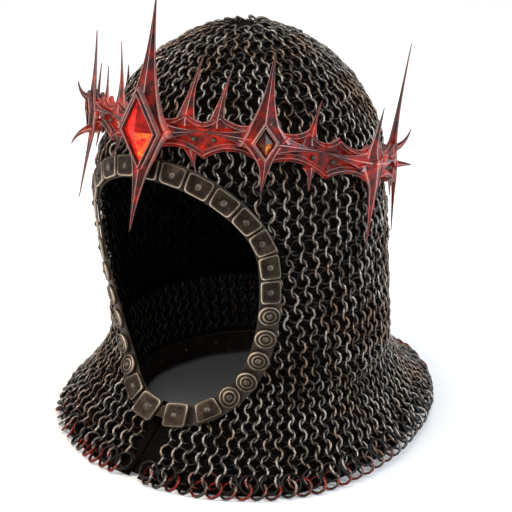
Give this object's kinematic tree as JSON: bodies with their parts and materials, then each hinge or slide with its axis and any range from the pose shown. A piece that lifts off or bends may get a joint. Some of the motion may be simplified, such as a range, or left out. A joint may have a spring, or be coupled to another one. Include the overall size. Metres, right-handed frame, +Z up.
{
  "type": "mail coif",
  "caption": "Mail coif with a short split mantle, a plated face opening, a chin hook and a lift-off thorned crown.",
  "frame": {"origin": "on the ground plane, under the middle of the part's box", "axes": "+Z up, the face opening looks along -Y, +X is the wearer's left"},
  "size_m": [0.2842, 0.3198, 0.3401],
  "materials": {
    "mail_rings": "blackened steel rings, worn bright on their crests",
    "hem_rings": "blackened steel rings with worn red paint",
    "strap_leather": "dark brown worn leather",
    "lining": "dark leather lining",
    "edge_plates": "browned steel with bright worn edges",
    "rivets": "worn steel rivet heads",
    "crown_metal": "dark red lacquered steel, worn pink along its ridges",
    "red_stone": "cut red stone",
    "amber_stone": "dark amber stone"
  },
  "bodies": {
    "coif": {"brow_plate_center": "edge_plates", "brow_plate_left_1": "edge_plates", "brow_plate_left_2": "edge_plates", "brow_plate_left_3": "edge_plates", "brow_plate_left_4": "edge_plates", "brow_plate_left_5": "edge_plates", "brow_plate_left_6": "edge_plates", "brow_plate_left_7": "edge_plates", "brow_plate_right_1": "edge_plates", "brow_plate_right_2": "edge_plates", "brow_plate_right_3": "edge_plates", "brow_plate_right_4": "edge_plates", "brow_plate_right_5": "edge_plates", "brow_plate_right_6": "edge_plates", "brow_plate_right_7": "edge_plates", "cheek_scale_left_1": "edge_plates", "cheek_scale_left_2": "edge_plates", "cheek_scale_left_3": "edge_plates", "cheek_scale_left_4": "edge_plates", "cheek_scale_left_5": "edge_plates", "cheek_scale_right_1": "edge_plates", "cheek_scale_right_2": "edge_plates", "cheek_scale_right_3": "edge_plates", "cheek_scale_right_4": "edge_plates", "cheek_scale_right_5": "edge_plates", "chin_end_plate_left": "edge_plates", "chin_end_plate_right": "edge_plates", "chin_plate_left": "edge_plates", "chin_plate_right": "edge_plates", "chin_stud": "rivets", "face_strap": "strap_leather", "hem_rings": "hem_rings", "hook_pivot_rivet": "rivets", "mail_dome": "mail_rings", "mail_hood": "mail_rings", "mail_mantle": "mail_rings", "nape_lining": "lining", "neck_strap": "strap_leather", "neck_strap_rivets": "rivets", "plate_rivets": "rivets"},
    "crown": {"crown_back": "crown_metal", "crown_front": "crown_metal", "crown_hoop": "crown_metal", "crown_rear_left": "crown_metal", "crown_rear_right": "crown_metal", "crown_side_left": "crown_metal", "crown_side_right": "crown_metal", "crown_studs": "crown_metal", "crown_temple_left": "crown_metal", "crown_temple_right": "crown_metal", "gem_front": "red_stone", "gem_temple_left": "amber_stone", "gem_temple_right": "amber_stone"},
    "hook": {"chin_hook": "edge_plates"},
    "lapel_left": {"lapel_left": "mail_rings", "lapel_rings_left": "hem_rings"},
    "lapel_right": {"lapel_right": "mail_rings", "lapel_rings_right": "hem_rings"}
  },
  "joints": [
    {"name": "crown_lift", "type": "slide", "parent": "coif", "child": "crown", "axis": [0, 0, 1], "range_m": [0, 0.2]},
    {"name": "chin_hook_turn", "type": "hinge", "parent": "coif", "child": "hook", "pos_m": [0.012, -0.11868, 0.03936], "axis": [0, 0.7369, -0.676], "range_deg": [0, 75]},
    {"name": "lapel_left_fold", "type": "hinge", "parent": "coif", "child": "lapel_left", "pos_m": [0.00616, -0.12938, 0.02549], "axis": [-0.9248, 0.1954, 0.3264], "range_deg": [0, 60]},
    {"name": "lapel_right_fold", "type": "hinge", "parent": "coif", "child": "lapel_right", "pos_m": [-0.00616, -0.12938, 0.02549], "axis": [-0.9248, -0.1954, -0.3264], "range_deg": [0, 60]}
  ]
}
